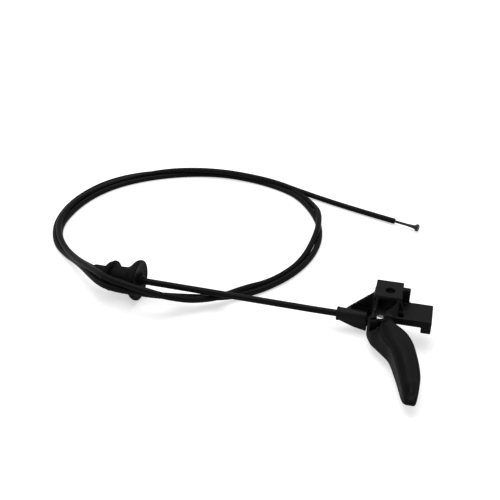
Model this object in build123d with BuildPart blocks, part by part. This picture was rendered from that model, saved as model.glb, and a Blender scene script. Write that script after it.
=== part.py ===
from build123d import *
import os
from math import pi, radians, tan

os.makedirs("parts", exist_ok=True)

# Frame: the fixing hole's centre on the tab's top face is the origin, +X runs along the conduit boss
# towards the clip block, +Y is the side of the back wall and +Z is up. All sizes are in mm.
TABLE_Z = -35.0
TAB_T = 2.5
TAB_X = (-10.5, 8.7)
TAB_Y = (-8.5, 11.8)
HOLE_D = 6.5
BACK_Y = (2.5, 6.2)
BACK_RIGHT = 13.9
DECK_TOP = -11.0
DECK_T = 2.5
DECK_LEFT = -11.0
WALL_T = 1.6
STRUT_T = 2.4
NOTCH_X = (7.6, 10.8)
NOTCH_Y = (-14.6, -9.6)

# Hooked clip block on the right, open underneath.
CLIP_X = (12.5, 30.7)
CLIP_Y = (-16.6, 4.6)
CLIP_DEPTH = 5.5
CLIP_WALL = 2.0
FOOT_LEFT = 23.7
FOOT_DEPTH = 10.0
BODY_RIGHT = 6.0

# Pivot, with a running fit between pin and hub.
PIN_X, PIN_Y = -4.35, -17.4
PIN_D = 5.4
RUNNING_FIT = 0.05
EAR_R = 5.0
LOWER_EAR_TOP = -28.3
LOWER_EAR_T = 3.0
HUB_R = 8.5
AXIAL_GAP = 0.3

# Handle, described by cross-sections from the hub to the tip: place along Y, left foot, left ridge,
# right edge, top and bottom.
HANDLE = [
    (-22.0, -12.0, -2.6, 8.4, -11.1, -28.0),
    (-26.0, -10.4, -2.6, 13.2, -11.1, -28.0),
    (-30.5, -7.8, -2.2, 17.2, -11.1, -28.0),
    (-37.0, -1.8, 0.9, 20.7, -11.9, -28.0),
    (-44.0, 4.6, 6.2, 22.9, -13.0, -28.0),
    (-50.0, 7.2, 11.0, 24.6, -14.2, -28.0),
    (-57.0, 9.6, 14.2, 26.2, -15.7, -28.0),
    (-64.0, 11.9, 16.0, 27.1, -17.0, -28.0),
    (-70.0, 13.7, 16.8, 27.1, -18.2, -28.0),
    (-76.0, 15.6, 17.6, 26.7, -19.3, -27.9),
    (-81.0, 17.4, 18.6, 25.6, -20.5, -27.4),
    (-85.0, 19.9, 20.6, 24.2, -22.4, -25.9),
]
VALLEY_DEPTH = 1.1
CREST_INSET = 4.4
POCKET_X = (-10.2, -3.8)
POCKET_Y = (-24.4, -21.4)
POCKET_RIM = -16.6
POCKET_DEPTH = 4.4

# Control cable: casing, inner wire and the nipples on both ends.
CASING_D = 5.0
WIRE_D = 2.5
WIRE_Y, WIRE_Z = -5.8, -22.5
BOSS_D = 9.6
BOSS_LEFT, BOSS_RIGHT = -36.0, -13.8
WEB_T = 1.5
WEB_DEPTH = 4.6
WEB_RIM = 1.3
STRAP_W = 3.0
STRAP_T = 1.2
STRAP_TOP = -1.8
CASING_STOP = -18.0
WIRE_HOLE_D = 3.1
BARREL_D = 4.6
BARREL_H = 9.4
SLOT_CLEARANCE = 0.7
FORK_T = 2.2
FORK_GAP = 3.8
FORK_REACH = 17.5
PRONG_T = 1.5
LEVER_WIRE_LENGTH = 35.0
LATCH_WIRE_INSIDE = 12.0
LATCH_WIRE_OUTSIDE = 20.0
BORE_DEPTH = 24.0
HEAD_D = 6.4
HEAD_T = 3.0
COIL_D = 10.0

# Grommet, on an axis parallel to X.
GROMMET_Y, GROMMET_Z = -6.5, -19.0
COLLAR_X, COLLAR_R = -185.7, 4.6
FLANGE_R, FLANGE_X = 16.0, -189.8
NECK_X, NECK_D = -197.5, 17.0
INNER_FLANGE_R, INNER_FLANGE_X = 12.0, -210.4
NOSE_R, NOSE_END_R, NOSE_LENGTH = 7.2, 4.4, 17.0

deck_bottom = DECK_TOP - DECK_T
pin_bottom = LOWER_EAR_TOP - LOWER_EAR_T
hub_top = deck_bottom - AXIAL_GAP
hub_bottom = LOWER_EAR_TOP + AXIAL_GAP
tab_bottom = -TAB_T
web_front = WIRE_Y + BOSS_D / 2 - 0.4
strap_front = web_front + WEB_T - STRAP_W
strap_left = BOSS_LEFT + 7.2
strap_foot = WIRE_Z + 3
strap_slope = (STRAP_TOP - strap_foot) / (TAB_X[0] + 1 - strap_left)
web_top = STRAP_TOP - strap_slope * (TAB_X[0] + 1 - DECK_LEFT) - STRAP_T / 2
web_floor = WIRE_Z + BOSS_D / 2 - 2.1
web_left = DECK_LEFT - (web_top - WEB_RIM - web_floor) / strap_slope


def block(x, y, z, mode=Mode.ADD):
    """A rectangular block between two values on each axis."""
    middle = tuple((low + high) / 2 for low, high in (x, y, z))
    with Locations(middle):
        Box(x[1] - x[0], y[1] - y[0], z[1] - z[0], mode=mode)


def fair_radii(route, closed=False):
    """The largest arc that each corner's two runs allow."""
    points = [Vector(*p) for p in route]
    corners = range(len(points)) if closed else range(1, len(points) - 1)
    radii = []
    for i in corners:
        before = points[i] - points[i - 1]
        after = points[(i + 1) % len(points)] - points[i]
        half_turn = radians(before.get_angle(after)) / 2
        radii.append(0.45 * min(before.length, after.length) / tan(half_turn))
    return radii


def cord_path(name, route):
    """Straight runs joined by tangent arcs, with the radii and the length printed."""
    radii = fair_radii(route)
    with BuildLine() as line:
        FilletPolyline(*route, radius=radii)
    path = line.wire()
    print(name, "radii", [round(r) for r in radii], "length", round(path.length, 1))
    return path


# Sloped gusset of the bracket, from under the tab's right corner down to the deck's front edge.
with BuildPart() as gusset:
    with BuildSketch(Plane.XZ.offset(-TAB_Y[0] - STRUT_T)):
        with BuildLine():
            Polyline((7.4, tab_bottom), (6, tab_bottom), (3.6, -6.4), (0.8, -9.4), (-3, deck_bottom + 0.6),
                     (6.9, deck_bottom + 0.6), close=True)
        make_face()
    extrude(amount=TAB_Y[0] + STRUT_T - CLIP_Y[0] - 0.3)
    with BuildSketch(Plane.YZ.offset(-4)):
        with BuildLine():
            Polyline((TAB_Y[0] + STRUT_T, tab_bottom), (TAB_Y[0], tab_bottom), (CLIP_Y[0], DECK_TOP - 0.6),
                     (CLIP_Y[0], deck_bottom), (TAB_Y[0] + STRUT_T, deck_bottom), close=True)
        make_face()
    extrude(amount=13, mode=Mode.INTERSECT)

# Bracket: one moulding with the screw tab, back and left walls, deck with the upper ear, lower ear,
# struts, the boss that takes the casing with its webs, and the hooked clip block.
clip_bottom = DECK_TOP - CLIP_DEPTH
with BuildPart() as bracket:
    block(TAB_X, TAB_Y, (tab_bottom, 0))
    block((DECK_LEFT, BODY_RIGHT), BACK_Y, (TABLE_Z, tab_bottom))
    block((DECK_LEFT, BACK_RIGHT), BACK_Y, (clip_bottom, tab_bottom))
    block((TAB_X[1], BACK_RIGHT), BACK_Y, (tab_bottom, 0))
    block((DECK_LEFT, DECK_LEFT + WALL_T), (TAB_Y[0], BACK_Y[1]), (TABLE_Z, deck_bottom))
    block((DECK_LEFT, DECK_LEFT + WALL_T), (TAB_Y[0] + STRUT_T, BACK_Y[1]), (deck_bottom, tab_bottom))
    block((TAB_X[1] - WALL_T, TAB_X[1]), (TAB_Y[0] + STRUT_T, BACK_Y[1]), (deck_bottom, tab_bottom))
    with BuildSketch(Plane.XY.offset(deck_bottom)):
        with BuildLine():
            Polyline((DECK_LEFT, BACK_Y[1]), (CLIP_X[0], BACK_Y[1]), (CLIP_X[0], CLIP_Y[0]),
                     (4.4, CLIP_Y[0]), (PIN_X + EAR_R, PIN_Y + 2), (PIN_X, PIN_Y - 1),
                     (PIN_X - PIN_D / 2, PIN_Y - 1), (DECK_LEFT, PIN_Y - 3.7), (-9.8, -14),
                     (DECK_LEFT, -7.6), close=True)
        make_face()
        with Locations(((NOTCH_X[0] + NOTCH_X[1]) / 2, (NOTCH_Y[0] + NOTCH_Y[1]) / 2)):
            Rectangle(NOTCH_X[1] - NOTCH_X[0], NOTCH_Y[1] - NOTCH_Y[0], mode=Mode.SUBTRACT)
    extrude(amount=DECK_T)
    with BuildSketch(Plane.XY.offset(LOWER_EAR_TOP)):
        with BuildLine():
            Polyline((DECK_LEFT, BACK_Y[1]), (BODY_RIGHT, BACK_Y[1]), (PIN_X + EAR_R, PIN_Y),
                     (PIN_X - EAR_R, PIN_Y), (DECK_LEFT, TAB_Y[0]), close=True)
        make_face()
        with Locations((PIN_X, PIN_Y)):
            Circle(EAR_R)
    extrude(amount=-LOWER_EAR_T)
    with BuildSketch(Plane.XZ.offset(-TAB_Y[0])):
        with BuildLine():
            Polyline((-8.7, tab_bottom), (-9, -8.6), (-9.8, deck_bottom), (-4.4, deck_bottom),
                     (-6.2, -10.4), (-6.9, -8), (-7.2, tab_bottom), close=True)
        make_face()
        with BuildLine():
            Polyline((7.9, tab_bottom), (6.3, tab_bottom), (4.6, -7), (2.1, -9.8), (-1.6, deck_bottom),
                     (2.4, deck_bottom), (4.6, -9.8), (6.8, -6.2), close=True)
        make_face()
    extrude(amount=-STRUT_T)
    with BuildSketch(Plane.XZ.offset(-TAB_Y[0])):
        with BuildLine():
            Polyline((8.3, tab_bottom), (7.7, DECK_TOP), (11, DECK_TOP), close=True)
        make_face()
    extrude(amount=-WALL_T)
    add(gusset.part)
    with BuildSketch(Plane.XZ.offset(-web_front)):
        with BuildLine():
            Polyline((DECK_LEFT, web_top), (strap_left, strap_foot - STRAP_T / 2), (BOSS_LEFT + 6, WIRE_Z),
                     (BOSS_LEFT + 14, WIRE_Z - BOSS_D), (DECK_LEFT, TABLE_Z + 1), close=True)
        make_face()
    extrude(amount=-WEB_DEPTH)
    with BuildSketch(Plane.XZ.offset(-web_front)):
        with BuildLine():
            Polyline((DECK_LEFT, web_top - WEB_RIM), (web_left, web_floor), (DECK_LEFT, web_floor), close=True)
        make_face()
    extrude(amount=WEB_T - WEB_DEPTH, mode=Mode.SUBTRACT)
    with BuildSketch(Plane.XZ.offset(-strap_front)):
        with BuildLine():
            Polyline((TAB_X[0] + 1, STRAP_TOP), (strap_left, strap_foot), (strap_left, strap_foot - STRAP_T),
                     (TAB_X[0] + 1, STRAP_TOP - STRAP_T), close=True)
        make_face()
    extrude(amount=-STRAP_W)
    with BuildSketch(Plane.YZ.offset(BOSS_LEFT)):
        with Locations((WIRE_Y, WIRE_Z)):
            Circle(BOSS_D / 2)
    extrude(amount=BOSS_RIGHT - BOSS_LEFT)
    with BuildSketch(Plane.XZ.offset(BOSS_D * 0.4 - WIRE_Y)):
        with BuildLine():
            Polyline((BOSS_LEFT, WIRE_Z), (BOSS_LEFT, WIRE_Z - BOSS_D / 4),
                     (BOSS_LEFT + 6, WIRE_Z - BOSS_D / 2), (BOSS_LEFT + 13, WIRE_Z - BOSS_D * 0.78),
                     (BOSS_RIGHT, WIRE_Z - BOSS_D), (BOSS_RIGHT, WIRE_Z), close=True)
        make_face()
    extrude(amount=-BOSS_D * 0.8)
    block(CLIP_X, CLIP_Y, (clip_bottom, DECK_TOP))
    block((NOTCH_X[0] - WALL_T, CLIP_X[0]), (CLIP_Y[0], CLIP_Y[0] + WALL_T), (clip_bottom, deck_bottom))
    block((NOTCH_X[0] - WALL_T, CLIP_X[0]), (CLIP_Y[0], BACK_Y[0]), (clip_bottom, clip_bottom + WALL_T))
    block((FOOT_LEFT, CLIP_X[1]), CLIP_Y, (DECK_TOP - FOOT_DEPTH, DECK_TOP))
    block((CLIP_X[0] + CLIP_WALL, CLIP_X[1] - CLIP_WALL), (CLIP_Y[0] + CLIP_WALL, CLIP_Y[1] - CLIP_WALL),
          (DECK_TOP - FOOT_DEPTH - 1, deck_bottom), mode=Mode.SUBTRACT)
    with BuildSketch(Plane.YZ.offset(BOSS_LEFT - 1)):
        with Locations((WIRE_Y, WIRE_Z)):
            Circle(CASING_D / 2)
    extrude(amount=CASING_STOP - BOSS_LEFT + 1, mode=Mode.SUBTRACT)
    with BuildSketch(Plane.YZ.offset(CASING_STOP - 1)):
        with Locations((WIRE_Y, WIRE_Z)):
            Circle(WIRE_HOLE_D / 2)
    extrude(amount=DECK_LEFT + WALL_T + 2 - CASING_STOP, mode=Mode.SUBTRACT)
    with Locations((0, 0, -TAB_T / 2)):
        Cylinder(HOLE_D / 2, TAB_T + 2, mode=Mode.SUBTRACT)
    with Locations((PIN_X, PIN_Y, (DECK_TOP + pin_bottom) / 2)):
        Cylinder(PIN_D / 2, DECK_TOP - pin_bottom + 2, mode=Mode.SUBTRACT)
bracket.part.label = "bracket"
export_step(bracket.part, "parts/bracket.step")

# Pivot pin: plain steel, pressed into the ear and the base plate.
with BuildPart() as pivot_pin:
    with BuildSketch(Plane.XY.offset(pin_bottom)):
        with Locations((PIN_X, PIN_Y)):
            Circle(PIN_D / 2)
    extrude(amount=DECK_TOP - pin_bottom)
    chamfer(pivot_pin.edges().filter_by(GeomType.CIRCLE), length=0.3)
pivot_pin.part.label = "pivot_pin"
export_step(pivot_pin.part, "parts/pivot_pin.step")

# Lever: hub, curved handle towards the user and a fork behind the pivot for the cable's barrel. The
# handle has a ridge on its left, a gentle valley beside it and a rounded right edge. It rises to the
# deck's level right of the pin, and a pocket lightens the hub's front.
with BuildPart() as lever:
    for y, foot, ridge, edge, top, bottom in HANDLE:
        with BuildSketch(Plane.XZ.offset(-y)):
            with BuildLine():
                crest = edge - CREST_INSET * (edge - ridge) / 12
                hollow = VALLEY_DEPTH * (edge - ridge) / 12
                upper = Spline((ridge, top), ((ridge + crest) / 2, top - hollow), (crest, top),
                               (edge, (top * 2 + bottom) / 3), (edge - 1, bottom))
                Polyline(upper @ 1, (foot, bottom), upper @ 0)
            make_face()
    loft()
    with BuildSketch(Plane.XY.offset(hub_bottom)):
        with BuildLine():
            Polyline((PIN_X + HUB_R, PIN_Y), (HANDLE[0][3], HANDLE[0][0]), (HANDLE[0][1], HANDLE[0][0]),
                     (PIN_X - HUB_R, PIN_Y), close=True)
        make_face()
        with Locations((PIN_X, PIN_Y)):
            Circle(HUB_R)
    extrude(amount=hub_top - hub_bottom)
    with BuildSketch(Plane.XY.offset(hub_top)):
        with BuildLine():
            Polyline((HANDLE[0][2], HANDLE[0][0]), (HANDLE[0][3] - 0.4, HANDLE[0][0]),
                     (PIN_X + HUB_R + 0.6, PIN_Y - 0.4), (PIN_X + PIN_D / 2 + 0.6, PIN_Y - 0.4),
                     (PIN_X + 1.6, PIN_Y - PIN_D / 2 - 0.6), close=True)
        make_face()
    extrude(amount=DECK_TOP - hub_top)
    block(POCKET_X, (PIN_Y - HUB_R - 2, POCKET_Y[1]), (POCKET_RIM, DECK_TOP), mode=Mode.SUBTRACT)
    block((POCKET_X[0] + 1, POCKET_X[1] - 0.6), POCKET_Y, (POCKET_RIM - POCKET_DEPTH, DECK_TOP),
          mode=Mode.SUBTRACT)
    for level in (WIRE_Z + FORK_GAP / 2, WIRE_Z - FORK_GAP / 2 - FORK_T):
        with BuildSketch(Plane.XY.offset(level)):
            with Locations((PIN_X, PIN_Y + FORK_REACH / 2)):
                Rectangle(BARREL_D + 2 * (SLOT_CLEARANCE + PRONG_T), FORK_REACH)
            with Locations((PIN_X, WIRE_Y + 10)):
                SlotOverall(20 + BARREL_D + 2 * SLOT_CLEARANCE, BARREL_D + 2 * SLOT_CLEARANCE,
                            rotation=90, mode=Mode.SUBTRACT)
        extrude(amount=FORK_T)
    with Locations((PIN_X, PIN_Y, WIRE_Z)):
        Cylinder(PIN_D / 2 + RUNNING_FIT, DECK_TOP - TABLE_Z + 10, mode=Mode.SUBTRACT)
lever.part.label = "lever"
export_step(lever.part, "parts/lever.step")

# Casing from the boss, straight through the grommet and down into the loops. Its first stretch has
# the bore that the inner wire slides in.
lead_route = [
    (CASING_STOP, WIRE_Y, WIRE_Z),
    (-47, WIRE_Y, WIRE_Z),
    (-213, GROMMET_Y, GROMMET_Z),
    (-235, 3.5, -20.5),
    (-253, 17.5, -26.5),
]
lead_path = cord_path("casing_lead", lead_route)
with BuildPart() as casing_lead:
    with BuildSketch(Plane(origin=lead_path @ 0, z_dir=lead_path % 0)):
        Circle(CASING_D / 2)
    sweep(path=lead_path)
    with BuildSketch(Plane.YZ.offset(CASING_STOP)):
        with Locations((WIRE_Y, WIRE_Z)):
            Circle(WIRE_D / 2 + RUNNING_FIT)
    extrude(amount=-BORE_DEPTH - 1, mode=Mode.SUBTRACT)
casing_lead.part.label = "casing_lead"
export_step(casing_lead.part, "parts/casing_lead.step")

# Loops of casing: the closed outer shape of the strands that lie together, raised where they lean
# on the grommet's flanges.
coil_route = [
    (-133, -1, -30), (-157, -19, -24.5), (-178, -27.8, -14), (-207, -26.4, -14), (-230.5, -15, -17),
    (-253, 14, -27), (-283, 47, -30), (-300, 90, -30), (-298, 137, -30), (-277, 178, -30),
    (-241, 203, -30), (-197, 214, -30), (-151, 211, -30), (-109, 191, -30), (-79, 155, -30),
    (-67, 109, -30), (-74, 64, -30), (-98, 24, -30),
]
coil_radii = fair_radii(coil_route, closed=True)
half = len(coil_route) // 2
seam = (Vector(*coil_route[-1]) + Vector(*coil_route[0])) / 2
far_seam = (Vector(*coil_route[half - 1]) + Vector(*coil_route[half])) / 2
coil_length = 0.0
with BuildPart() as casing_coil:
    for start, stretch, end in (
        (seam, slice(0, half), far_seam),
        (far_seam, slice(half, None), seam),
    ):
        with BuildLine() as half_loop:
            FilletPolyline(start, *coil_route[stretch], end, radius=coil_radii[stretch])
        half_path = half_loop.wire()
        coil_length += half_path.length
        with BuildSketch(Plane(origin=half_path @ 0, z_dir=half_path % 0)):
            Circle(COIL_D / 2)
        sweep(path=half_path)
print("casing_coil radii", [round(r) for r in coil_radii], "length", round(coil_length, 1))
casing_coil.part.label = "casing_coil"
export_step(casing_coil.part, "parts/casing_coil.step")

# Free end of the casing beyond the loops, bored where the inner wire slides.
tail_route = [
    (-136, 203, -30.3),
    (-101, 190.6, -31.6),
    (-53, 171.6, -32.3),
    (-8.2, 155.5, -31.6),
]
tail_path = cord_path("casing_tail", tail_route)
tail_end = tail_path @ 1
tail_dir = tail_path % 1
with BuildPart() as casing_tail:
    with BuildSketch(Plane(origin=tail_path @ 0, z_dir=tail_path % 0)):
        Circle(CASING_D / 2)
    sweep(path=tail_path)
    with BuildSketch(Plane(origin=tail_end, z_dir=-tail_dir)):
        Circle(WIRE_D / 2 + RUNNING_FIT)
    extrude(amount=BORE_DEPTH, mode=Mode.SUBTRACT)
casing_tail.part.label = "casing_tail"
export_step(casing_tail.part, "parts/casing_tail.step")

# Grommet: moulded rubber with an outer sealing flange, a neck, a smaller inner flange and a nose
# that bends with the casing. The casing fills its bore.
with BuildPart() as grommet:
    with BuildSketch(Plane.XY.offset(GROMMET_Z)):
        with BuildLine():
            Polyline((COLLAR_X, GROMMET_Y), (COLLAR_X, GROMMET_Y + COLLAR_R),
                     (FLANGE_X + 2, GROMMET_Y + FLANGE_R - 1.8), (FLANGE_X + 1.6, GROMMET_Y + FLANGE_R),
                     (FLANGE_X - 1.2, GROMMET_Y + FLANGE_R), (NECK_X, GROMMET_Y + NECK_D / 2),
                     (INNER_FLANGE_X + 1.8, GROMMET_Y + NECK_D / 2),
                     (INNER_FLANGE_X + 1.4, GROMMET_Y + INNER_FLANGE_R),
                     (INNER_FLANGE_X - 1.2, GROMMET_Y + INNER_FLANGE_R),
                     (INNER_FLANGE_X - 2.6, GROMMET_Y + NOSE_R), (INNER_FLANGE_X - 4.1, GROMMET_Y), close=True)
        make_face()
    revolve(axis=Axis((FLANGE_X, GROMMET_Y, GROMMET_Z), (1, 0, 0)))
    with Locations(Plane(origin=(INNER_FLANGE_X - 7.6, GROMMET_Y + 2.3, GROMMET_Z - 0.4),
                         z_dir=(-0.92, 0.38, -0.06))):
        Cone(NOSE_R, NOSE_END_R, NOSE_LENGTH)
    with BuildSketch(Plane(origin=lead_path @ 0, z_dir=lead_path % 0)):
        Circle(CASING_D / 2)
    sweep(path=lead_path, mode=Mode.SUBTRACT)
grommet.part.label = "grommet"
export_step(grommet.part, "parts/grommet.step")

# Inner wire at the lever's end, with the barrel that hooks into the fork.
wire_right = PIN_X - BARREL_D / 2
with BuildPart() as lever_wire:
    with BuildSketch(Plane.YZ.offset(wire_right)):
        with Locations((WIRE_Y, WIRE_Z)):
            Circle(WIRE_D / 2)
    extrude(amount=wire_right - PIN_X - LEVER_WIRE_LENGTH + BARREL_D / 2)
    with Locations((PIN_X, WIRE_Y, WIRE_Z)):
        Cylinder(BARREL_D / 2, BARREL_H, mode=Mode.SUBTRACT)
lever_wire.part.label = "lever_wire"
export_step(lever_wire.part, "parts/lever_wire.step")

with BuildPart() as barrel_nipple:
    with Locations((PIN_X, WIRE_Y, WIRE_Z)):
        Cylinder(BARREL_D / 2, BARREL_H)
barrel_nipple.part.label = "barrel_nipple"
export_step(barrel_nipple.part, "parts/barrel_nipple.step")

# Inner wire at the latch's end, with its flat-headed nipple.
with BuildPart() as latch_wire:
    with BuildSketch(Plane(origin=tail_end - tail_dir * LATCH_WIRE_INSIDE, z_dir=tail_dir)):
        Circle(WIRE_D / 2)
    extrude(amount=LATCH_WIRE_INSIDE + LATCH_WIRE_OUTSIDE)
latch_wire.part.label = "latch_wire"
export_step(latch_wire.part, "parts/latch_wire.step")

with BuildPart() as end_nipple:
    with BuildSketch(Plane(origin=tail_end + tail_dir * LATCH_WIRE_OUTSIDE, z_dir=tail_dir)):
        Circle(HEAD_D / 2)
    extrude(amount=HEAD_T)
    fillet(end_nipple.edges().filter_by(GeomType.CIRCLE), radius=0.6)
end_nipple.part.label = "end_nipple"
export_step(end_nipple.part, "parts/end_nipple.step")

# The tubes' volumes against section times length.
section = pi * (CASING_D / 2) ** 2
bore = pi * (WIRE_D / 2 + RUNNING_FIT) ** 2 * BORE_DEPTH
print("lead", casing_lead.part.volume / (section * lead_path.length - bore * (BORE_DEPTH + 1) / BORE_DEPTH))
print("tail", casing_tail.part.volume / (section * tail_path.length - bore))
print("coil", casing_coil.part.volume / (pi * (COIL_D / 2) ** 2 * coil_length))
print("tail end", tail_end, "direction", tail_dir)
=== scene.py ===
from math import cos, pi, radians, sin, tan

import bmesh
import bpy
from mathutils import Matrix, Vector


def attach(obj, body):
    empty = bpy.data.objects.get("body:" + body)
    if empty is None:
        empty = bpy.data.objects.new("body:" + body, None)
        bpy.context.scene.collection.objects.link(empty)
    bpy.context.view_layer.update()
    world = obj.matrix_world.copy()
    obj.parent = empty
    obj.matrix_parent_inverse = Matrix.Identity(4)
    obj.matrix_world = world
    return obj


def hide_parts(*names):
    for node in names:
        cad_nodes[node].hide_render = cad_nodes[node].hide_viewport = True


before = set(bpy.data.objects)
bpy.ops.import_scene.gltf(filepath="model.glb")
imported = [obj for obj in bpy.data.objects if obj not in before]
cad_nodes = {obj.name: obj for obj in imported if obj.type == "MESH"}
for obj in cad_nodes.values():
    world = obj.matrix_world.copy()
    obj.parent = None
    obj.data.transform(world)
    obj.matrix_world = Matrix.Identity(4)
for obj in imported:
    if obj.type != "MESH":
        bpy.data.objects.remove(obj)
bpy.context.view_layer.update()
scene = bpy.context.scene


# Camera and table. The photograph looks down on the coiled cable from the handle's side, so the
# camera stands in front of the bracket, turned a little towards the loops.
half_sensor = 18
view_angle = 37.01
camera_data = bpy.data.cameras.new("camera")
camera_data.lens = half_sensor / tan(radians(view_angle) / 2)
camera_data.clip_start = 0.01
camera = bpy.data.objects.new("camera", camera_data)
camera.location = (0.012, -0.4411, 0.302)
camera.rotation_euler = (radians(58), 0, radians(14.5))
scene.collection.objects.link(camera)
scene.camera = camera
scene.view_settings.view_transform = "Standard"

table_z = -0.035


# Cable casing: an extruded black sheath on a wound steel liner, five millimetres across, that runs
# from the bracket through the grommet into loose loops and ends beside them.
casing_radius = 0.0025
lead_points = [
    (-0.018, -0.0058, -0.0225),
    (-0.047, -0.0058, -0.0225),
    (-0.076, -0.0059, -0.0219),
    (-0.189, -0.0064, -0.0195),
    (-0.213, -0.0065, -0.019),
    (-0.235, 0.0040, -0.0205),
    (-0.2555, 0.0208, -0.0265),
]

# The loops lie clockwise from above, one turn after another. Each waypoint is a direction from the
# middle of the loops in degrees, a radius and a height above the table, in millimetres.
loop_centre = (-184.5, 105)
first_turn = [
    (212, 113.3, 4.2), (196, 116.0, 2.5), (180, 113.0, 2.5), (165, 111.3, 2.5), (150, 108.8, 2.5),
    (135, 105.0, 2.5), (120, 102.3, 2.5), (105, 101.8, 2.5), (90, 103.2, 2.5), (75, 104.2, 2.5),
    (60, 107.6, 2.5), (45, 112.8, 2.5), (30, 113.2, 2.5), (15, 115.6, 2.5), (0, 117.2, 2.5),
    (-15, 118.2, 2.5), (-30, 119.1, 2.5), (-45, 119.6, 2.7), (-55, 118.8, 3.8), (-63, 118.6, 5.6),
    (-70, 119.5, 8.2), (-76.6, 123.4, 12.0), (-82, 128.3, 16.0), (-87.5, 130.2, 17.9),
    (-93, 130.8, 18.3), (-98.5, 130.6, 18.0), (-103.2, 129.0, 18.2), (-109, 123.2, 16.8),
    (-116.5, 116.8, 14.0), (-126, 112.0, 9.4), (-138.5, 112.4, 3.4),
]
second_turn = [
    (-150, 117.3, 2.5), (-165, 120.3, 2.5), (180, 121.5, 2.5), (165, 121.8, 2.5), (150, 121.4, 2.5),
    (135, 117.0, 2.5), (120, 110.2, 2.5), (105, 107.2, 2.5), (90, 108.5, 2.5), (75, 109.4, 2.5),
    (60, 113.2, 2.5), (45, 117.8, 2.7), (30, 118.2, 3.6), (21, 116.8, 6.8), (9, 114.2, 7.4),
    (-1, 112.2, 4.6), (-14, 112.4, 2.5), (-26, 113.4, 2.5), (-39, 114.4, 3.2), (-50, 114.8, 6.0),
    (-61, 122.0, 7.5), (-70, 125.6, 9.8), (-76, 128.6, 14.0), (-81, 132.8, 19.6), (-86, 132.4, 22.6),
    (-90, 131.2, 23.2), (-94, 129.4, 23.4), (-98.5, 128.4, 23.8), (-103.2, 126.6, 24.6),
    (-109.6, 120.8, 21.2), (-118.4, 115.5, 16.6), (-128.5, 112.2, 11.6), (-140.5, 111.6, 7.8),
]
third_turn = [
    (-152, 113.8, 6.6), (-165, 117.0, 6.6), (180, 117.0, 5.6), (165, 116.6, 3.8), (150, 115.0, 3.4),
    (135, 110.4, 4.4), (120, 104.6, 6.8), (105, 101.6, 7.4), (90, 101.2, 7.4), (76, 102.2, 7.4),
]
tail_points = [
    (-0.1290, 0.2000, -0.0290),
    (-0.101, 0.1906, -0.0316),
    (-0.053, 0.1716, -0.0323),
    (-0.0082, 0.1555, -0.0316),
]


def smooth_line(name, points, radius):
    """One open, smooth curve along given points, round in section."""
    data = bpy.data.curves.new(name, "CURVE")
    data.dimensions = "3D"
    data.resolution_u = 12
    data.bevel_depth = 1
    data.bevel_resolution = 5
    data.use_fill_caps = True
    spline = data.splines.new("NURBS")
    spline.points.add(len(points) - 1)
    for place, point in zip(spline.points, points):
        place.co = (*point, 1)
        place.radius = radius
    spline.order_u = 3
    spline.use_endpoint_u = True
    line = bpy.data.objects.new(name, data)
    scene.collection.objects.link(line)
    return line


loop_points = []
for angle, radius, height in first_turn + second_turn + third_turn:
    x = loop_centre[0] + radius * cos(radians(angle))
    y = loop_centre[1] + radius * sin(radians(angle))
    loop_points.append((x / 1000, y / 1000, table_z + height / 1000))
casing = smooth_line("cable_casing", lead_points + loop_points + tail_points, casing_radius)
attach(casing, "base")
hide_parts("casing_lead", "casing_coil", "casing_tail")


def link(tree, output, socket):
    tree.links.new(output, socket)


def moulding_group():
    """Colour, roughness and height of a moulded black surface, with flow marks and fine grain."""
    group = bpy.data.node_groups.new("moulded_surface", "ShaderNodeTree")
    face = group.interface
    face.new_socket("Colour", in_out="INPUT", socket_type="NodeSocketColor")
    for name in ("Roughness", "Grain Scale", "Mottle Scale", "Mottle"):
        face.new_socket(name, in_out="INPUT", socket_type="NodeSocketFloat")
    face.new_socket("Colour", in_out="OUTPUT", socket_type="NodeSocketColor")
    for name in ("Roughness", "Height"):
        face.new_socket(name, in_out="OUTPUT", socket_type="NodeSocketFloat")
    nodes = group.nodes
    inside = nodes.new("NodeGroupInput")
    outside = nodes.new("NodeGroupOutput")
    place = nodes.new("ShaderNodeTexCoord")
    mottle = nodes.new("ShaderNodeTexNoise")
    mottle.inputs["Detail"].default_value = 4
    link(group, place.outputs["Object"], mottle.inputs["Vector"])
    link(group, inside.outputs["Mottle Scale"], mottle.inputs["Scale"])
    grain = nodes.new("ShaderNodeTexNoise")
    grain.inputs["Detail"].default_value = 3
    link(group, place.outputs["Object"], grain.inputs["Vector"])
    link(group, inside.outputs["Grain Scale"], grain.inputs["Scale"])
    shade = nodes.new("ShaderNodeMapRange")
    shade.inputs["To Min"].default_value = -1
    shade.inputs["To Max"].default_value = 1
    link(group, mottle.outputs["Fac"], shade.inputs["Value"])
    amount = nodes.new("ShaderNodeMath")
    amount.operation = "MULTIPLY_ADD"
    amount.inputs[2].default_value = 1
    link(group, shade.outputs["Result"], amount.inputs[0])
    link(group, inside.outputs["Mottle"], amount.inputs[1])
    tint = nodes.new("ShaderNodeVectorMath")
    tint.operation = "SCALE"
    link(group, inside.outputs["Colour"], tint.inputs[0])
    link(group, amount.outputs["Value"], tint.inputs["Scale"])
    link(group, tint.outputs["Vector"], outside.inputs["Colour"])
    rough = nodes.new("ShaderNodeMath")
    rough.operation = "MULTIPLY"
    link(group, inside.outputs["Roughness"], rough.inputs[0])
    link(group, amount.outputs["Value"], rough.inputs[1])
    link(group, rough.outputs["Value"], outside.inputs["Roughness"])
    link(group, grain.outputs["Fac"], outside.inputs["Height"])
    return group


moulded_surface = moulding_group()


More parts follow.
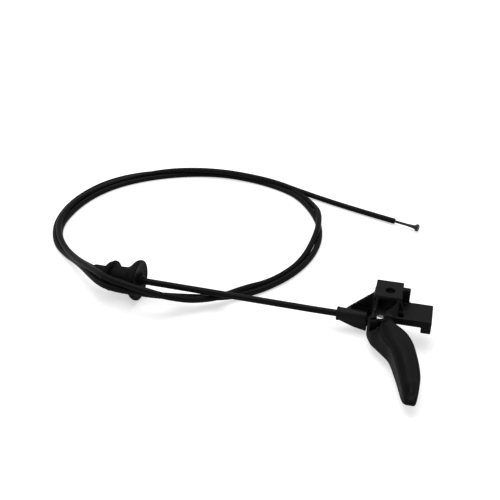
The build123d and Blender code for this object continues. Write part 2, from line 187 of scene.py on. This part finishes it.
def moulded_material(name, colour, roughness, grain, mottle, relief, specular):
    """A moulded, extruded or metal surface. Grain is a noise scale, and mottle a noise scale and a share."""
    material = bpy.data.materials.new(name)
    material.use_nodes = True
    tree = material.node_tree
    shader = tree.nodes["Principled BSDF"]
    shader.inputs["Specular IOR Level"].default_value = specular
    surface = tree.nodes.new("ShaderNodeGroup")
    surface.node_tree = moulded_surface
    surface.inputs["Colour"].default_value = (*colour, 1)
    surface.inputs["Roughness"].default_value = roughness
    surface.inputs["Grain Scale"].default_value = grain
    surface.inputs["Mottle Scale"].default_value = mottle[0]
    surface.inputs["Mottle"].default_value = mottle[1]
    bump = tree.nodes.new("ShaderNodeBump")
    bump.inputs["Strength"].default_value = relief
    bump.inputs["Distance"].default_value = 0.0001
    link(tree, surface.outputs["Colour"], shader.inputs["Base Color"])
    link(tree, surface.outputs["Roughness"], shader.inputs["Roughness"])
    link(tree, surface.outputs["Height"], bump.inputs["Height"])
    link(tree, bump.outputs["Normal"], shader.inputs["Normal"])
    return material


def dress(piece, material):
    """Puts one material on the whole piece."""
    piece.data.materials.clear()
    piece.data.materials.append(material)


casing_sheath = moulded_material(
    "casing_sheath", (0.0046, 0.0046, 0.0049),
    roughness=0.42, grain=700, mottle=(40, 0.15), relief=0.15, specular=0.08,
)
dress(casing, casing_sheath)


# Grommet: black rubber, moulded in one piece and slid onto the casing. The wide flange seals the
# bulkhead, the neck fills its hole, the small flange locks behind it and the nose bends with the casing.
# Each row of the profile is a distance along the casing and a radius, in millimetres.
grommet_start = -184.6
grommet_line_points = 60
grommet_profile = [
    (1.4, 2.45), (0.9, 3.0), (0.1, 3.5), (0.0, 4.1), (0.5, 4.5), (2.2, 4.6), (3.4, 4.8), (4.3, 5.3),
    (4.5, 5.9), (3.9, 6.6), (3.3, 7.4), (3.1, 9.0), (2.8, 11.0), (2.3, 13.4), (2.0, 14.8), (2.3, 15.4),
    (3.1, 15.6), (4.4, 15.6), (5.6, 15.2), (7.0, 14.2), (8.8, 12.2), (10.6, 10.4), (12.4, 9.2),
    (14.4, 8.7), (19.0, 8.5), (22.2, 8.4), (23.0, 8.8), (23.4, 10.2), (23.9, 11.5), (24.8, 12.0),
    (25.7, 11.7), (26.1, 10.9), (26.4, 10.4), (26.8, 10.6), (27.5, 10.8), (28.2, 10.1), (28.6, 8.8),
    (29.1, 7.0), (29.9, 6.3), (31.0, 6.2), (31.7, 5.8), (32.5, 6.0), (33.9, 5.8), (34.6, 5.3),
    (35.4, 5.5), (36.8, 5.3), (37.5, 4.8), (38.3, 5.0), (39.7, 4.8), (40.5, 4.4), (41.3, 4.5),
    (42.8, 4.2), (43.7, 3.9), (44.0, 3.3), (43.6, 2.45),
]


def shown_mesh(piece):
    """A new mesh of what the piece shows, with its modifiers applied."""
    shown = piece.evaluated_get(bpy.context.evaluated_depsgraph_get())
    return bpy.data.meshes.new_from_object(shown)


def own_line(curve):
    """Points on the middle of a curve, in order, in metres."""
    bare = bpy.data.objects.new("bare", curve.data.copy())
    bare.data.bevel_depth = 0
    scene.collection.objects.link(bare)
    points = [v.co.copy() for v in shown_mesh(bare).vertices]
    bpy.data.objects.remove(bare)
    return points


def along(path, distance):
    """The place and the direction at a distance along a path, in metres."""
    for near, far in zip(path, path[1:]):
        step = (far - near).length
        if distance <= step or far is path[-1]:
            return near.lerp(far, distance / step), (far - near).normalized()
        distance -= step


def eased(a, b, c, d, t):
    """A value between b and c on a smooth curve through a, b, c and d."""
    return b + t / 2 * (c - a + t * (2 * a - 5 * b + 4 * c - d + t * (3 * (b - c) + d - a)))


def smooth_rows(rows, count, closed):
    """More rows between the given ones, on a smooth curve through them."""
    total = len(rows)
    made = []
    for i in range(total if closed else total - 1):
        around = (i - 1, i, i + 1, i + 2)
        if closed:
            four = [rows[k % total] for k in around]
        else:
            four = [rows[min(max(k, 0), total - 1)] for k in around]
        for step in range(count):
            made.append([eased(*values, step / count) for values in zip(*four)])
    if not closed:
        made.append(list(rows[-1]))
    return made


def as_mesh(name, skin):
    """Ends the editing of a skin and makes it a mesh."""
    mesh = bpy.data.meshes.new(name)
    skin.to_mesh(mesh)
    skin.free()
    return mesh


def closed_skin(name, rings):
    """A closed mesh over rings of points, with a face on each end."""
    skin = bmesh.new()
    rows = [[skin.verts.new(point) for point in ring] for ring in rings]
    for near, far in zip(rows, rows[1:]):
        for i in range(len(near)):
            skin.faces.new((near[i - 1], near[i], far[i], far[i - 1]))
    skin.faces.new(rows[0])
    skin.faces.new(list(reversed(rows[-1])))
    bmesh.ops.recalc_face_normals(skin, faces=skin.faces)
    return as_mesh(name, skin)


def turned(name, path, profile, sides):
    """A round, closed skin along a path, with the radius that the profile gives at each distance."""
    rings = []
    side = None
    for distance, radius in profile:
        place, ahead = along(path, distance / 1000)
        start = ahead.orthogonal() if side is None else side
        side = (start - ahead * start.dot(ahead)).normalized()
        up = ahead.cross(side)
        angles = [2 * pi * i / sides for i in range(sides)]
        outward = [side * cos(angle) + up * sin(angle) for angle in angles]
        rings.append([place + way * radius / 1000 for way in outward])
    return closed_skin(name, rings)


def placed(name, mesh):
    """A new object with smooth faces."""
    for face in mesh.polygons:
        face.use_smooth = True
    piece = bpy.data.objects.new(name, mesh)
    scene.collection.objects.link(piece)
    return piece


casing_line = own_line(casing)
first = next(i for i, point in enumerate(casing_line) if point.x < grommet_start / 1000)
before, after = casing_line[first - 1], casing_line[first]
share = (before.x - grommet_start / 1000) / (before.x - after.x)
grommet_path = [before.lerp(after, share), *casing_line[first:first + grommet_line_points]]
grommet_rows = smooth_rows(grommet_profile, count=3, closed=False)
grommet = placed("bulkhead_grommet", turned("bulkhead_grommet", grommet_path, grommet_rows, sides=72))
grommet_rubber = moulded_material(
    "grommet_rubber", (0.0045, 0.0045, 0.0045),
    roughness=0.55, grain=1200, mottle=(120, 0.2), relief=0.3, specular=0.06,
)
dress(grommet, grommet_rubber)
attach(grommet, "base")
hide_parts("grommet")


# Inner wire at the latch's end: steel strands laid round a core, with a dark coat. It slides in the
# casing, and a flat-headed nipple is pressed onto its end.
latch_exit = Vector((-0.0082, 0.1555, -0.0316))
latch_direction = Vector((0.940973, -0.338162, 0.014703))
latch_wire_inside, latch_wire_outside = 0.012, 0.0205
strand_step = 0.0008


def wire_tree():
    """Lays strands in a helix round each edge path, with a core in the middle."""
    tree = bpy.data.node_groups.new("stranded_wire", "GeometryNodeTree")
    tree.interface.new_socket("Geometry", in_out="INPUT", socket_type="NodeSocketGeometry")
    tree.interface.new_socket("Strands", in_out="INPUT", socket_type="NodeSocketInt")
    for name in ("Strand Radius", "Helix Radius", "Core Radius", "Lay"):
        tree.interface.new_socket(name, in_out="INPUT", socket_type="NodeSocketFloat")
    tree.interface.new_socket("Coat", in_out="INPUT", socket_type="NodeSocketMaterial")
    tree.interface.new_socket("Geometry", in_out="OUTPUT", socket_type="NodeSocketGeometry")

    def add(kind, **settings):
        node = tree.nodes.new(kind)
        for key, value in settings.items():
            setattr(node, key, value)
        return node

    def maths(operation, first_value, second_value=None):
        node = add("ShaderNodeMath", operation=operation)
        for socket, value in zip(node.inputs, (first_value, second_value)):
            if isinstance(value, (int, float)):
                socket.default_value = value
            elif value is not None:
                link(tree, value, socket)
        return node.outputs[0]

    def scaled(vector, factor):
        node = add("ShaderNodeVectorMath", operation="SCALE")
        link(tree, vector, node.inputs[0])
        link(tree, factor, node.inputs["Scale"])
        return node.outputs["Vector"]

    inside = add("NodeGroupInput")
    path = add("GeometryNodeMeshToCurve")
    link(tree, inside.outputs["Geometry"], path.inputs[0])
    fine = add("GeometryNodeResampleCurve", mode="LENGTH")
    fine.inputs["Length"].default_value = strand_step
    link(tree, path.outputs[0], fine.inputs["Curve"])
    copies = add("GeometryNodeDuplicateElements", domain="SPLINE")
    link(tree, fine.outputs["Curve"], copies.inputs["Geometry"])
    link(tree, inside.outputs["Strands"], copies.inputs["Amount"])
    length = add("GeometryNodeSplineParameter").outputs["Length"]
    turns = maths("DIVIDE", length, inside.outputs["Lay"])
    share = maths("DIVIDE", copies.outputs["Duplicate Index"], inside.outputs["Strands"])
    angle = maths("MULTIPLY", maths("ADD", turns, share), 2 * pi)
    normal = add("GeometryNodeInputNormal").outputs[0]
    across = add("ShaderNodeVectorMath", operation="CROSS_PRODUCT")
    link(tree, add("GeometryNodeInputTangent").outputs[0], across.inputs[0])
    link(tree, normal, across.inputs[1])
    radius = inside.outputs["Helix Radius"]
    offset = add("ShaderNodeVectorMath", operation="ADD")
    away = scaled(normal, maths("MULTIPLY", maths("COSINE", angle), radius))
    aside = scaled(across.outputs[0], maths("MULTIPLY", maths("SINE", angle), radius))
    link(tree, away, offset.inputs[0])
    link(tree, aside, offset.inputs[1])
    laid = add("GeometryNodeSetPosition")
    link(tree, copies.outputs["Geometry"], laid.inputs["Geometry"])
    link(tree, offset.outputs["Vector"], laid.inputs["Offset"])
    whole = add("GeometryNodeJoinGeometry")
    strands = (laid.outputs[0], "Strand Radius", 10)
    core = (fine.outputs["Curve"], "Core Radius", 16)
    for curve, size, corners in (strands, core):
        ring = add("GeometryNodeCurvePrimitiveCircle")
        ring.inputs["Resolution"].default_value = corners
        link(tree, inside.outputs[size], ring.inputs["Radius"])
        tube = add("GeometryNodeCurveToMesh")
        tube.inputs["Fill Caps"].default_value = True
        link(tree, curve, tube.inputs["Curve"])
        link(tree, ring.outputs["Curve"], tube.inputs["Profile Curve"])
        link(tree, tube.outputs["Mesh"], whole.inputs["Geometry"])
    smooth = add("GeometryNodeSetShadeSmooth")
    link(tree, whole.outputs["Geometry"], smooth.inputs["Geometry"])
    real = add("GeometryNodeRealizeInstances")
    link(tree, smooth.outputs["Geometry"], real.inputs["Geometry"])
    coat = add("GeometryNodeSetMaterial")
    link(tree, real.outputs["Geometry"], coat.inputs["Geometry"])
    link(tree, inside.outputs["Coat"], coat.inputs["Material"])
    link(tree, coat.outputs["Geometry"], add("NodeGroupOutput").inputs["Geometry"])
    return tree


stranded_wire = wire_tree()
dark_metal = moulded_material(
    "dark_metal", (0.012, 0.012, 0.0125),
    roughness=0.4, grain=1600, mottle=(300, 0.2), relief=0.1, specular=0.35,
)


def settle(piece):
    """Turns the piece's modifiers into plain mesh."""
    finished = shown_mesh(piece)
    piece.modifiers.clear()
    piece.data = finished


def inner_wire(name, start, end, sizes):
    """A stranded wire between two points."""
    line = bpy.data.meshes.new(name)
    line.from_pydata([start, end], [(0, 1)], [])
    piece = bpy.data.objects.new(name, line)
    scene.collection.objects.link(piece)
    strands = piece.modifiers.new("strands", "NODES")
    strands.node_group = stranded_wire
    for socket in stranded_wire.interface.items_tree:
        if socket.in_out == "INPUT" and socket.name in sizes:
            strands[socket.identifier] = sizes[socket.name]
    settle(piece)
    return piece


wire_sizes = {
    "Strands": 7,
    "Strand Radius": 0.00042,
    "Helix Radius": 0.00078,
    "Core Radius": 0.00068,
    "Lay": 0.016,
    "Coat": dark_metal,
}
latch_start = latch_exit - latch_direction * latch_wire_inside
latch_end = latch_exit + latch_direction * latch_wire_outside
latch_wire = inner_wire("latch_inner_wire", latch_start, latch_end, wire_sizes)
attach(latch_wire, "latch_wire")
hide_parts("latch_wire")

# Each row is a distance from the casing's end and a radius, in millimetres.
end_profile = [
    (13.4, 1.22), (13.8, 1.36), (16.0, 1.42), (18.2, 1.55), (19.4, 1.95), (20.2, 2.6), (20.7, 3.05),
    (21.3, 3.2), (22.3, 3.2), (22.8, 2.95), (22.9, 2.4), (22.7, 1.4), (22.7, 0.5),
]
latch_path = [latch_exit, latch_exit + latch_direction * 0.030]
end_rows = smooth_rows(end_profile, count=2, closed=False)
end_nipple = placed("end_nipple_metal", turned("end_nipple_metal", latch_path, end_rows, sides=40))
dress(end_nipple, dark_metal)
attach(end_nipple, "latch_wire")
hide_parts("end_nipple")


# Bracket: one black nylon moulding with rounded edges. Two round ribs and a ring at the boss's mouth
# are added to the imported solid, the strap beside the boss is cut narrower, and the upper ear is cut
# thinner over the lever's lip.
def fused(name, meshes):
    """Overlapping closed meshes as one object."""
    whole = bmesh.new()
    for mesh in meshes:
        whole.from_mesh(mesh)
    bmesh.ops.remove_doubles(whole, verts=whole.verts, dist=0.000001)
    return placed(name, as_mesh(name, whole))


def melt(piece, voxel):
    """Makes the piece one closed skin and rounds its edges and corners."""
    blend = piece.modifiers.new("blend", "REMESH")
    blend.mode = "VOXEL"
    blend.voxel_size = voxel
    settle(piece)
    skin = bmesh.new()
    skin.from_mesh(piece.data)
    bmesh.ops.smooth_vert(
        skin, verts=skin.verts, factor=0.5, use_axis_x=True, use_axis_y=True, use_axis_z=True,
    )
    skin.to_mesh(piece.data)
    skin.free()
    for face in piece.data.polygons:
        face.use_smooth = True


coarse_voxel, fine_voxel = 0.00045, 0.0004
rib_radius = 1.2
rib_steps = 40
ribs = [
    [(-8, -8.0, -2.4), (-8, -8.4, -6.5), (-8.2, -9.3, -9.5), (-8.8, -12, -11.0), (-9.8, -16, -11.6)],
    [(7, -8.4, -2.6), (5.2, -9.2, -5.6), (2.7, -10.2, -8.3), (0.7, -11.4, -10.1), (-0.3, -13.2, -10.9),
     (1.2, -15.2, -11.1), (3.4, -16.1, -11.5)],
]


def rib_mesh(points):
    """A round rib on a smooth line through a few points."""
    path = [Vector(row) / 1000 for row in smooth_rows(points, count=6, closed=False)]
    length = 1000 * sum((far - near).length for near, far in zip(path, path[1:]))
    profile = [(length * i / rib_steps, rib_radius) for i in range(rib_steps + 1)]
    return turned("rib", path, profile, sides=16)


def upright(outline, low, high):
    """A closed prism on an outline seen from above, between two heights, all in millimetres."""
    solid = bmesh.new()
    foot = solid.faces.new([solid.verts.new((x / 1000, y / 1000, low / 1000)) for x, y in outline])
    grown = bmesh.ops.extrude_face_region(solid, geom=[foot])
    lifted = [v for v in grown["geom"] if isinstance(v, bmesh.types.BMVert)]
    bmesh.ops.translate(solid, verts=lifted, vec=(0, 0, (high - low) / 1000))
    bmesh.ops.recalc_face_normals(solid, faces=solid.faces)
    return as_mesh("prism", solid)


def sideways(outline, front, back):
    """A closed prism on an outline seen from the front, between two places along Y, in millimetres."""
    solid = upright(outline, -back, -front)
    solid.transform(Matrix.Rotation(pi / 2, 4, "X"))
    return solid


def arc(centre, radius, start, end, count=48):
    """Points on an arc between two angles, in degrees."""
    angles = [radians(start + (end - start) * i / count) for i in range(count + 1)]
    return [(centre[0] + radius * cos(angle), centre[1] + radius * sin(angle)) for angle in angles]


def cut(piece, tools):
    """Cuts closed tool meshes out of the piece."""
    for tool in tools:
        holder = bpy.data.objects.new("tool", tool)
        scene.collection.objects.link(holder)
        carve = piece.modifiers.new("carve", "BOOLEAN")
        carve.operation = "DIFFERENCE"
        carve.solver = "EXACT"
        carve.object = holder
        settle(piece)
        bpy.data.objects.remove(holder)


pin_place = (-4.35, -17.4)
boss_mouth, boss_inside = -0.0365, -0.030
boss_line = [Vector((x, -0.0058, -0.0225)) for x in (boss_mouth, boss_inside)]
mouth_profile = [(0.5, 2.9), (0.5, 4.7), (0.9, 5.15), (2.0, 5.15), (2.6, 4.7)]
bracket = fused("bracket_moulding", [
    cad_nodes["bracket"].data,
    *(rib_mesh(points) for points in ribs),
    turned("mouth", boss_line, mouth_profile, sides=40),
])
melt(bracket, fine_voxel)

# Rooms in front of the strap and behind it, seen from the front, and one in the ear, seen from above.
front_outline = [(-29.5, -18.3), (-24.3, -18.3), (-11.2, -6.4), (-11.2, 0), (-29.5, -1)]
back_outline = [(-31.8, -24.0), (-11.2, -5.1), (-11.2, 0), (-31.8, 0)]
strip_start, strip_end = 165, 250
strip_radius, strip_inner_radius = 6.9, 2.9
strip_outer = arc(pin_place, strip_radius, strip_start, strip_end, 24)
strip_inner = arc(pin_place, strip_inner_radius, strip_end, strip_start, 12)
deck_bottom, thin_ear_bottom = -13.8, -12.05
cut(bracket, [
    sideways(front_outline, front=-3.2, back=-1.4),
    sideways(back_outline, front=1.2, back=3.6),
    upright(strip_outer + strip_inner, deck_bottom, thin_ear_bottom),
])
melt(bracket, fine_voxel)
bracket_nylon = moulded_material(
    "bracket_nylon", (0.0058, 0.0058, 0.0062),
    roughness=0.48, grain=1400, mottle=(90, 0.15), relief=0.3, specular=0.12,
)
dress(bracket, bracket_nylon)
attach(bracket, "base")
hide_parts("bracket")


# Inner wire at the bracket: the same stranded wire comes out of the boss, with a plain barrel pressed
# across its end that the lever's fork holds.
barrel_place = Vector((-0.00435, -0.0058, -0.0225))
lever_wire_start = barrel_place - Vector((0.035, 0, 0))
lever_wire = inner_wire("lever_inner_wire", lever_wire_start, barrel_place, wire_sizes)
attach(lever_wire, "lever_wire")
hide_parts("lever_wire")

barrel_profile = [
    (0.0, 1.5), (0.0, 1.9), (0.4, 2.3), (4.7, 2.3), (9.0, 2.3), (9.4, 1.9), (9.4, 1.5), (9.1, 0.8),
]
barrel_path = [barrel_place - Vector((0, 0, 0.0047)), barrel_place + Vector((0, 0, 0.0053))]
barrel = placed("barrel_nipple_metal", turned("barrel_nipple_metal", barrel_path, barrel_profile, sides=40))
dress(barrel, dark_metal)
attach(barrel, "lever_wire")
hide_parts("barrel_nipple")


# Pivot pin: plain steel, turned and chamfered, pressed through both ears. Its line runs a millimetre
# past the pin's top, so that the last rows of the profile lie on it.
pin_low, pin_high = -31.3, -11.2
pin_profile = [
    (0.15, 0.6), (0.0, 1.6), (0.0, 2.3), (0.35, 2.7), (10.0, 2.7), (19.6, 2.7), (20.0, 2.4),
    (20.1, 2.2), (20.1, 1.5), (20.1, 0.6),
]
pin_path = [Vector((*pin_place, z)) / 1000 for z in (pin_low, pin_high + 1)]
pin = placed("pivot_pin_steel", turned("pivot_pin_steel", pin_path, pin_profile, sides=64))
pin_steel = moulded_material(
    "pin_steel", (0.62, 0.62, 0.63),
    roughness=0.3, grain=1600, mottle=(300, 0.08), relief=0.05, specular=0.5,
)
pin_steel.node_tree.nodes["Principled BSDF"].inputs["Metallic"].default_value = 1
dress(pin, pin_steel)
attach(pin, "base")
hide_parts("pivot_pin")


# Lever: one black nylon moulding. The hub turns on the pin between the bracket's ears, the handle
# bends away to the right and tapers to a rounded tip, and a fork behind the hub holds the barrel.
valley_depth = 1.5
valley_width = 14
dish_place = (22.3, -76.0)
dish_reach = (4.6, 8.0)
dish_depth = 1.7
steps_between = 5
points_between = 5

# Each section is a place along Y, left foot, left shoulder, ridge, right edge, top and bottom, in
# millimetres.
handle_sections = [
    (-19.0, -12.6, -12.3, -2.8, 4.8, -11.1, -28.0),
    (-22.0, -12.0, -12.0, -3.4, 7.8, -11.1, -28.0),
    (-26.0, -10.4, -9.6, -3.6, 12.9, -11.1, -28.0),
    (-30.5, -7.8, -6.6, -3.2, 17.2, -11.1, -28.0),
    (-37.0, -1.8, -1.6, -0.9, 20.7, -11.9, -28.0),
    (-44.0, 4.3, 4.4, 4.7, 22.9, -13.0, -28.0),
    (-50.0, 7.2, 7.3, 7.7, 24.6, -14.2, -28.0),
    (-57.0, 9.6, 9.8, 10.3, 26.2, -15.7, -28.0),
    (-64.0, 11.9, 12.1, 12.6, 27.1, -17.0, -28.0),
    (-70.0, 13.7, 13.9, 14.4, 27.1, -18.2, -28.0),
    (-76.0, 15.4, 15.6, 16.0, 26.9, -19.3, -27.9),
    (-81.0, 16.9, 17.1, 17.5, 26.4, -20.5, -27.4),
    (-83.8, 18.4, 18.7, 19.1, 25.7, -21.9, -26.7),
    (-85.0, 19.6, 19.8, 20.2, 24.8, -22.9, -25.9),
    (-85.5, 21.1, 21.2, 21.5, 23.6, -23.9, -24.9),
]


def handle_outline(y, foot, shoulder, ridge, edge, top, bottom):
    """Points round one section of the handle, in x and z. The valley fades out at both ends."""
    width = edge - ridge
    rise = top - bottom
    near_hub = (-y - 14) / 30
    near_tip = 1.2 + (y + 50) / 45
    sink = valley_depth * width / valley_width * min(1, near_hub, near_tip)
    corners = [
        (foot, bottom + 0.08 * rise),
        (foot * 0.9 + shoulder * 0.1, bottom + 0.30 * rise),
        (shoulder * 0.85 + ridge * 0.15, bottom + 0.60 * rise),
        (ridge - 0.02 * width, bottom + 0.84 * rise),
        (ridge + 0.03 * width, top - 0.04 * rise),
        (ridge + 0.20 * width, top - 0.06 * rise - 0.5 * sink),
        (ridge + 0.40 * width, top - 0.05 * rise - sink),
        (ridge + 0.57 * width, top - 0.03 * rise - 0.8 * sink),
        (ridge + 0.72 * width, top - 0.02 * rise - 0.3 * sink),
        (ridge + 0.85 * width, top - 0.02 * rise),
        (edge - 0.03 * width, top - 0.18 * rise),
        (edge, top - 0.38 * rise),
        (edge - 0.02 * width, bottom + 0.22 * rise),
        (edge - 0.10 * width, bottom),
        (foot + 0.10 * (edge - foot), bottom),
    ]
    return smooth_rows(corners, points_between, closed=True)


def handle_mesh():
    """The handle's closed skin, with the thumb dish near its tip."""
    rings = []
    for row in smooth_rows(handle_sections, steps_between, closed=False):
        y, top, bottom = row[0], row[5], row[6]
        ring = []
        for x, z in handle_outline(*row):
            aside = (x - dish_place[0]) / dish_reach[0]
            ahead = (y - dish_place[1]) / dish_reach[1]
            off = aside ** 2 + ahead ** 2
            if off < 1 and z > (top + bottom) / 2:
                z -= dish_depth * (1 - off) ** 2
            ring.append((x / 1000, y / 1000, z / 1000))
        rings.append(ring)
    return closed_skin("handle", rings)


# What the hub is made of, in outlines seen from above and heights, in millimetres.
hub_radius = 8.5
hub_low, hub_high = -28.0, -13.8
collar_radius, collar_top = 5.4, -10.75
collar_start, collar_end = 247, 352
lip = [(-12.0, -21.9), (-7.2, -18.6), pin_place, (-2.9, -22.6), (-6, -22.4), (-10.6, -23.2)]
lip_top = -12.35
shoulder = [(-3.0, -21.5), (5.6, -20.5), (3.4, -16.0), (0.8, -15.6), (-3.0, -17.6)]
shoulder_top = -11.3
lever_parts = [
    handle_mesh(),
    upright(arc(pin_place, hub_radius, 0, 360)[:-1], hub_low, hub_high),
    upright([*arc(pin_place, collar_radius, collar_start, collar_end, 24), pin_place], hub_low, collar_top),
    upright(lip, hub_low, lip_top),
    upright(shoulder, hub_low, shoulder_top),
]

# The fork has two plates, with a slot for the barrel in each.
slot_half, prong_half = 3.0, 4.5
fork_end = 0.1
barrel_y = -5.8
fork_plates = [(-20.6, -18.4), (-26.6, -24.4)]
pin_x, pin_y = pin_place
prongs = [
    (pin_x - prong_half, pin_y),
    (pin_x + prong_half, pin_y),
    (pin_x + prong_half, fork_end),
    (pin_x + slot_half, fork_end),
    *arc((pin_x, barrel_y), slot_half, 0, -180, 24),
    (pin_x - slot_half, fork_end),
    (pin_x - prong_half, fork_end),
]
for low, high in fork_plates:
    lever_parts.append(upright(prongs, low, high))
lever = fused("lever_moulding", lever_parts)
melt(lever, coarse_voxel)

# Room for the bracket's upper ear, the bore for the pin and the pocket in front of it. The tools reach
# well past the hub on both sides.
ear_room = [
    (-20, -28), (-11.3, -21.7), (-7.1, -18.8), (-4.2, -18.8), (-1.7, -17.4), (-1.3, -17.0),
    (1.0, -16.1), (4.4, -16.9), (14, -16.9), (14, -5), (-20, -5),
]
pocket = [
    (-10.5, -23.2), (-9, -22.7), (-2.4, -22.2), (-2.7, -23.8), (-4.2, -25.2), (-6.8, -26.0),
    (-9.2, -25.4), (-10.2, -24.6),
]
pocket_floor = -23.0
bore_radius = 2.85
below_hub, above_hub = -33.0, -6.05
cut(lever, [
    upright(ear_room, hub_high, above_hub),
    upright(arc(pin_place, bore_radius, 0, 360)[:-1], below_hub, above_hub),
    upright(pocket, pocket_floor, above_hub),
])
melt(lever, fine_voxel)
lever_nylon = moulded_material(
    "lever_nylon", (0.0048, 0.0048, 0.0051),
    roughness=0.45, grain=1400, mottle=(90, 0.15), relief=0.25, specular=0.07,
)
dress(lever, lever_nylon)
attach(lever, "lever")
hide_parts("lever")


# Floor and light: a pale table that the object stands on, a large soft lamp overhead and a weaker
# one from the side, as in a product photograph.
def seen_or_lit(tree, lit, seen, socket):
    """Shows one shader to the camera, and lights the pieces with the other."""
    rays = tree.nodes.new("ShaderNodeLightPath")
    mix = tree.nodes.new("ShaderNodeMixShader")
    link(tree, rays.outputs["Is Camera Ray"], mix.inputs["Fac"])
    link(tree, lit, mix.inputs[1])
    link(tree, seen, mix.inputs[2])
    link(tree, mix.outputs["Shader"], socket)


floor_size = 6
floor_gap = 0.0001
floor_edit = bmesh.new()
bmesh.ops.create_grid(floor_edit, x_segments=1, y_segments=1, size=floor_size)
floor_mesh = as_mesh("floor", floor_edit)
floor_mesh.transform(Matrix.Translation((0, 0, table_z - floor_gap)))
floor = bpy.data.objects.new("floor", floor_mesh)
scene.collection.objects.link(floor)
floor_paint = bpy.data.materials.new("floor_paint")
floor_paint.use_nodes = True
floor_tree = floor_paint.node_tree
floor_tree.nodes.clear()
floor_out = floor_tree.nodes.new("ShaderNodeOutputMaterial")
floor_diffuse = floor_tree.nodes.new("ShaderNodeBsdfDiffuse")
floor_diffuse.inputs["Color"].default_value = (0.8, 0.8, 0.8, 1)
floor_glow = floor_tree.nodes.new("ShaderNodeEmission")
floor_glow.inputs["Color"].default_value = (1, 1, 1, 1)
floor_glow.inputs["Strength"].default_value = 0.55
floor_sum = floor_tree.nodes.new("ShaderNodeAddShader")
link(floor_tree, floor_diffuse.outputs["BSDF"], floor_sum.inputs[0])
link(floor_tree, floor_glow.outputs["Emission"], floor_sum.inputs[1])
seen_or_lit(
    floor_tree,
    lit=floor_diffuse.outputs["BSDF"],
    seen=floor_sum.outputs["Shader"],
    socket=floor_out.inputs["Surface"],
)
dress(floor, floor_paint)

world = bpy.data.worlds.new("studio")
scene.world = world
world.use_nodes = True
world_tree = world.node_tree
world_tree.nodes.clear()
world_out = world_tree.nodes.new("ShaderNodeOutputWorld")
world_soft = world_tree.nodes.new("ShaderNodeBackground")
world_soft.inputs["Color"].default_value = (1, 1, 1, 1)
world_soft.inputs["Strength"].default_value = 0.45
world_white = world_tree.nodes.new("ShaderNodeBackground")
world_white.inputs["Color"].default_value = (1, 1, 1, 1)
world_white.inputs["Strength"].default_value = 1
seen_or_lit(
    world_tree,
    lit=world_soft.outputs["Background"],
    seen=world_white.outputs["Background"],
    socket=world_out.inputs["Surface"],
)

lamp_aim = (-0.12, 0.05, 0)


def soft_lamp(name, place, size, power):
    """A square lamp that points at the middle of the object."""
    data = bpy.data.lights.new(name, "AREA")
    data.shape = "SQUARE"
    data.size = size
    data.energy = power
    lamp = bpy.data.objects.new(name, data)
    lamp.location = place
    lamp.rotation_euler = (Vector(lamp_aim) - Vector(place)).to_track_quat("-Z", "Y").to_euler()
    scene.collection.objects.link(lamp)


soft_lamp("overhead_lamp", (-0.25, 0.25, 1.1), size=1.0, power=8)
soft_lamp("side_lamp", (-1.1, 0.1, 0.6), size=0.6, power=1.5)
